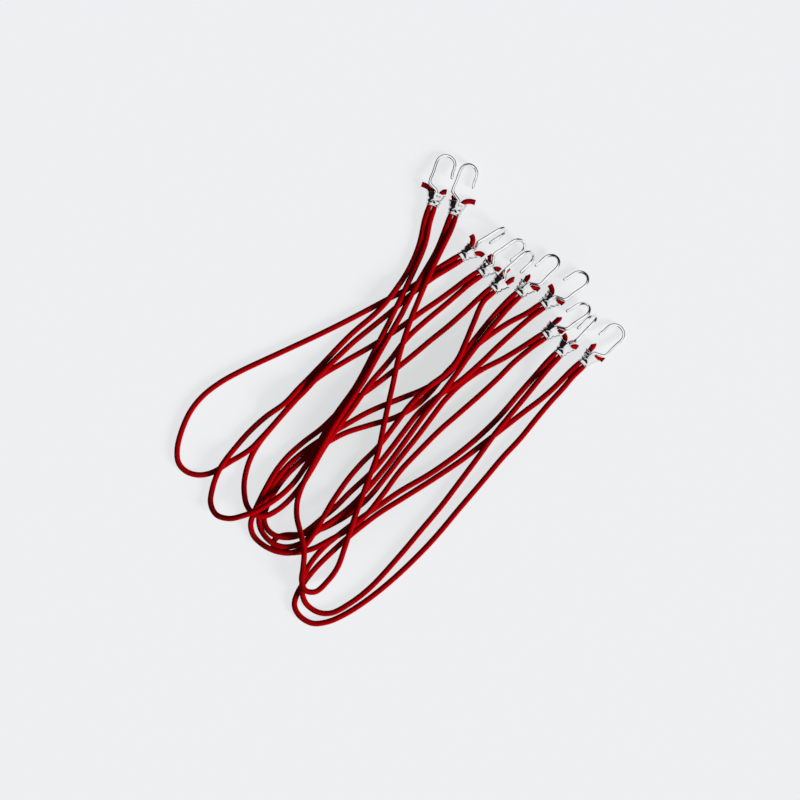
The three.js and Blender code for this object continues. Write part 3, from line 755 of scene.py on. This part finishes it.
def smoothLine(points, step):
    chain = [2 * points[0] - points[1], *points, 2 * points[-1] - points[-2]]
    line = [points[0]]
    for before, start, end, after in zip(chain, chain[1:], chain[2:], chain[3:]):
        lead = (start - before).length ** 0.5
        span = (end - start).length ** 0.5
        trail = (after - end).length ** 0.5
        leave = (start - before) / lead - (end - before) / (lead + span) + (end - start) / span
        arrive = (end - start) / span - (after - start) / (span + trail) + (after - end) / trail
        handles = (start + leave * span / 3, end - arrive * span / 3)
        line += interpolate_bezier(start, *handles, end, heap["spanPoints"])[1:]
    return spacedLine(line, step)


def lineLength(line):
    return sum((second - first).length for first, second in zip(line, line[1:]))


def lowestLeg(loop):
    return (hook["bendRadius"] + hook["tipFlare"]) * math.sin(math.radians(loop["roll"])) + wireRadius


def hookEndPlace(loop):
    onTails = tail["sag"] + tailRadius
    onFerrule = boreFloor + ferrule["wall"]
    height = max(onTails, onFerrule, lowestLeg(loop) - shankHeight) + gap
    turn = Matrix.Rotation(math.radians(loop["heading"]), 4, "Z")
    centreX, centreY = heap["centre"]
    mouth = Vector((loop["mouth"][0] - centreX, loop["mouth"][1] - centreY, height))
    return Matrix.Translation(mouth) @ turn @ Matrix.Translation((-ferrule["length"], 0, 0))


# each cord is laid over the ones below it and climbs to a crossing in a long low hump
def heightOver(point, under):
    reach = cord["diameter"] + cord["crossingGap"]
    height = cordRadius
    for low in under:
        apart = math.hypot(point.x - low.x, point.y - low.y)
        if apart < reach:
            height = max(height, low.z + math.sqrt(reach**2 - apart**2))
    return height


def humped(heights):
    spread = []
    for i in range(len(heights)):
        most = cordRadius
        for j, height in enumerate(heights):
            away = max(abs(i - j) * cord["layStep"] - cord["crossingFlat"], 0)
            most = max(most, height - away * cord["crossingSlope"])
        spread.append(most)
    smooth = []
    for i, height in enumerate(spread):
        before = spread[max(i - 1, 0)]
        after = spread[min(i + 1, len(spread) - 1)]
        smooth.append(max((before + 2 * height + after) / 4, heights[i]))
    return smooth


def layCord(loop, place, laid):
    height = place.translation.z
    ends = []
    for side in (1, -1):
        start = place @ Vector((-gap / 2, side * strandOffset, 0))
        ends.append((start, place @ Vector((-gap / 2 - cord["exitRun"], side * strandOffset, 0))))
    centreX, centreY = heap["centre"]
    middle = [Vector((x - centreX, y - centreY, height)) for x, y in loop["route"]]
    points = smoothLine([*ends[0], *middle, ends[1][1], ends[1][0]], cord["layStep"])
    heights = [heightOver(point, laid) for point in points]
    last = len(points) - 1
    for i in range(math.ceil(cord["exitRun"] * cord["levelExit"] / cord["layStep"]) + 1):
        heights[i] = max(heights[i], height)
        heights[last - i] = max(heights[last - i], height)
    firstPass = humped(heights)
    farEnough = round(cord["bendDiameters"] * cord["diameter"] / cord["layStep"])
    kept = math.floor(farEnough * cord["ownEnds"])
    half = round(last / 2)
    for i in range(half, last - kept + 1):
        own = []
        for j in range(kept + 1, min(half, i - farEnough)):
            own.append(Vector((points[j].x, points[j].y, firstPass[j])))
        heights[i] = max(heights[i], heightOver(points[i], own))
    return [Vector((p.x, p.y, z)) for p, z in zip(points, humped(heights))]


def addCord(loop, place, laid):
    name = loop["name"]
    lay = layCord(loop, place, laid)
    laid += lay
    hiddenEnds = []
    for side in (1, -1):
        hiddenEnds.append([place @ Vector((x, side * tailOffset, 0)) for x in cord["hidden"]])
    path = smoothLine([*reversed(hiddenEnds[0]), *lay, *hiddenEnds[1]], cord["ringStep"])
    path = [Vector((point.x, point.y, max(point.z, sheathRadius))) for point in path]
    squeezed = round((cord["hidden"][-1] + cord["ringStep"]) / cord["ringStep"])
    radii = []
    for i in range(len(path)):
        free = min(i, len(path) - 1 - i) / squeezed
        swollen = min(max(free - cord["swellFrom"], 0), 1)
        radii.append(tailRadius + (sheathRadius - tailRadius) * swollen)
    bm, firstEdges, lastEdges = sweepRound(path, radii, cord["sides"])
    bmesh.ops.edgeloop_fill(bm, edges=firstEdges)
    bmesh.ops.edgeloop_fill(bm, edges=lastEdges)
    writeSheathUv(bm, math.pi * cord["sheathDiameter"])
    piece = finishPiece(bm, "elastic_loop_" + name, [cordSheath])
    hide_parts("cord_" + name)
    ferruleEnd = place.translation
    farBend = max(lay, key=lambda point: (point - ferruleEnd).length)
    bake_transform(piece, heap["pileBody"], heap["endBody"] + name, start=farBend, end=ferruleEnd)
    print("cord", name, "laid,", round(lineLength(path), 3), "m")


def ridesOnEnd(piece, loop, nodeName):
    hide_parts(nodeName)
    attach(piece, heap["endBody"] + loop["name"])


# one cut end of the cord, out of the mouth of the ferrule and to the side
def addTail(loop, place, side, sideName):
    mouth = ferrule["length"]
    lead, reach = loop[sideName + "Tail"]
    spread, sag = tail["spread"], tail["sag"]
    out = reach - spread
    points = [
        (gap / 2, tailOffset, 0),
        (mouth * tail["inside"], tailOffset + (spread - tailOffset) * tail["inside"], 0),
        (mouth, spread, 0),
        (mouth + tail["run"], spread, -sag * tail["runSag"]),
        (mouth + lead * tail["bendLead"], spread + out * tail["bendOut"], -sag * tail["bendSag"]),
        (mouth + lead * tail["turnLead"], spread + out * tail["turnOut"], -sag),
        (mouth + lead, reach, -sag),
    ]
    path = smoothLine([place @ Vector((x, side * y, z)) for x, y, z in points], tail["ringStep"])
    radii = []
    for i in range(len(path)):
        freed = min(max((i * tail["ringStep"] - mouth) / tail["swell"], 0), 1)
        radii.append((tail["diameter"] + (tail["cutDiameter"] - tail["diameter"]) * freed) / 2)
    bm, firstEdges, lastEdges = sweepRound(path, radii, tail["sides"])
    bmesh.ops.edgeloop_fill(bm, edges=firstEdges)
    cut = bmesh.ops.edgeloop_fill(bm, edges=lastEdges)["faces"]
    rim = bmesh.ops.inset_region(bm, faces=cut, thickness=tail["rim"], depth=-tail["dimple"])["faces"]
    for face in [*cut, *rim]:
        face.material_index = 1
    writeSheathUv(bm, math.pi * tail["diameter"])
    piece = finishPiece(bm, "cut_end_" + sideName + "_" + loop["name"], [tailSheath, fusedEnd])
    ridesOnEnd(piece, loop, "cord_tail_" + sideName + "_" + loop["name"])


# pressed sleeve: a rounded section drawn out along the ferrule, then shaped point by point
def smoothShare(value):
    share = min(max(value, 0), 1)
    return share * share * (3 - 2 * share)


def bell(value, width):
    return math.exp(-((value / width) ** 2))


def sleevePoint(share, across, up):
    wall = ferrule["wall"]
    along = share * ferrule["length"]
    widen = 1 + ((boreMouth + wall) / (boreNarrow + wall) - 1) * share
    floor = boreFloor + wall
    atMouth = smoothShare(1 - (1 - share) / ferrule["mouthLip"])
    atCord = smoothShare(1 - share / ferrule["cordLip"])
    lip = ferrule["lip"] * (atMouth + ferrule["cordLipHeight"] * atCord)
    for crimp in ferrule["groovePlaces"]:
        lip -= ferrule["groove"] * bell(share - crimp, ferrule["grooveLength"])
    y = across * widen * (1 + lip / floor)
    z = up * (1 + lip / floor)
    if up > 0:
        topShare = smoothShare(up / floor * ferrule["crownFrom"])
        ridge = (boreRoof + wall - floor) * smoothShare(share / ferrule["ridgeRise"])
        z += ridge * bell(y, ferrule["ridgeWidth"]) * topShare
        dent = ferrule["dent"] * bell(share - ferrule["dentPlace"], ferrule["dentLength"])
        z -= dent * bell(y, ferrule["dentWidth"]) * topShare
    elif up < -ferrule["underside"] * floor:
        z += ferrule["seam"] * bell(y, ferrule["seamWidth"])
    return Vector((along, y, z))


def addFerrule(loop, place):
    wall = ferrule["wall"]
    bm = bmesh.new()
    acrossLayer = bm.verts.layers.float.new("across")
    upLayer = bm.verts.layers.float.new("up")
    bmesh.ops.create_grid(bm, x_segments=1, y_segments=1, size=1)
    bmesh.ops.scale(bm, vec=(boreNarrow + wall, boreFloor + wall, 1), verts=bm.verts)
    bmesh.ops.bevel(
        bm, geom=bm.verts[:], offset=ferrule["corner"] + wall, offset_type="OFFSET", affect="VERTICES",
        segments=ferrule["cornerSegments"], profile=0.5, material=-1,
    )
    bmesh.ops.delete(bm, geom=bm.faces[:], context="FACES_ONLY")
    flats = [edge for edge in bm.edges if edge.calc_length() > 2 * ferrule["corner"]]
    bmesh.ops.subdivide_edges(bm, edges=flats, cuts=ferrule["flatCuts"])
    for vert in bm.verts:
        vert[acrossLayer] = vert.co.x
        vert[upLayer] = vert.co.y
    edges = bm.edges[:]
    ring = bm.verts[:]
    for station in range(ferrule["stations"] + 1):
        if station:
            made = bmesh.ops.extrude_edge_only(bm, edges=edges)["geom"]
            ring = [item for item in made if isinstance(item, bmesh.types.BMVert)]
            edges = [item for item in made if isinstance(item, bmesh.types.BMEdge)]
        for vert in ring:
            vert.co = sleevePoint(station / ferrule["stations"], vert[acrossLayer], vert[upLayer])
    bmesh.ops.transform(bm, matrix=place, verts=bm.verts)
    piece = finishPiece(bm, "sleeve_" + loop["name"], [ferruleSteel])
    sheet = piece.modifiers.new("sheet", "SOLIDIFY")
    sheet.thickness = wall
    sheet.offset = -1
    rim = piece.modifiers.new("rim", "BEVEL")
    rim.width = wall * ferrule["rimShare"]
    rim.segments = ferrule["rimSegments"]
    rim.limit_method = "ANGLE"
    rim.angle_limit = math.radians(ferrule["rimAngle"])
    ridesOnEnd(piece, loop, "ferrule_" + loop["name"])


# wire hook: shank out of the ferrule, over to one side, round the bend and back to a blunt tip
def hookLine(loop, place):
    mouth = ferrule["length"]
    radius = hook["bendRadius"]
    bendStart = mouth + hook["legLength"]
    flat = [
        (mouth - hook["shankGrip"], 0),
        (mouth - hook["shankGrip"] * hook["gripMiddle"], 0),
        (mouth + wireRadius, radius * hook["jogStart"]),
        (mouth + hook["shankJog"] * hook["jogLead"], radius * hook["jogReach"]),
        (mouth + hook["shankJog"], radius),
        (mouth + (hook["shankJog"] + hook["legLength"]) / 2, radius),
    ]
    for i in range(hook["bendPoints"] + 1):
        turn = math.pi * i / hook["bendPoints"]
        flat.append((bendStart + radius * math.sin(turn), radius * math.cos(turn)))
    flat.append((bendStart - hook["tipSetback"] * hook["tipMiddle"], -radius))
    flat.append((bendStart - hook["tipSetback"], -radius - hook["tipFlare"]))
    roll = math.radians(loop["roll"])
    clear = max(place.translation.z + shankHeight - lowestLeg(loop) - gap, 0)
    droop = clear / (hook["legLength"] + radius - hook["shankJog"])
    line = []
    for x, y in flat:
        past = max(x - mouth - hook["shankJog"], 0)
        across = y * math.cos(roll) * loop["shankSide"]
        line.append(place @ Vector((x, across, shankHeight + y * math.sin(roll) - past * droop)))
    return smoothLine(line, hook["ringStep"])


def addHook(loop, place):
    path = hookLine(loop, place)
    radii = []
    for i in range(len(path)):
        fromTip = (len(path) - 1 - i) * hook["ringStep"]
        lack = max(1 - fromTip / wireRadius, 0)
        radii.append(wireRadius * max(math.sqrt(1 - lack**2), hook["tipFlat"]))
    bm, firstEdges, lastEdges = sweepRound(path, radii, hook["sides"])
    bmesh.ops.edgeloop_fill(bm, edges=firstEdges)
    bmesh.ops.edgeloop_fill(bm, edges=lastEdges)
    piece = finishPiece(bm, "wire_hook_" + loop["name"], [hookSteel], hook["sharpAngle"])
    ridesOnEnd(piece, loop, "hook_" + loop["name"])


laidCords = []
for loop in loops:
    place = hookEndPlace(loop)
    addCord(loop, place, laidCords)
    addFerrule(loop, place)
    addHook(loop, place)
    addTail(loop, place, 1, "left")
    addTail(loop, place, -1, "right")
print("hook ends made")
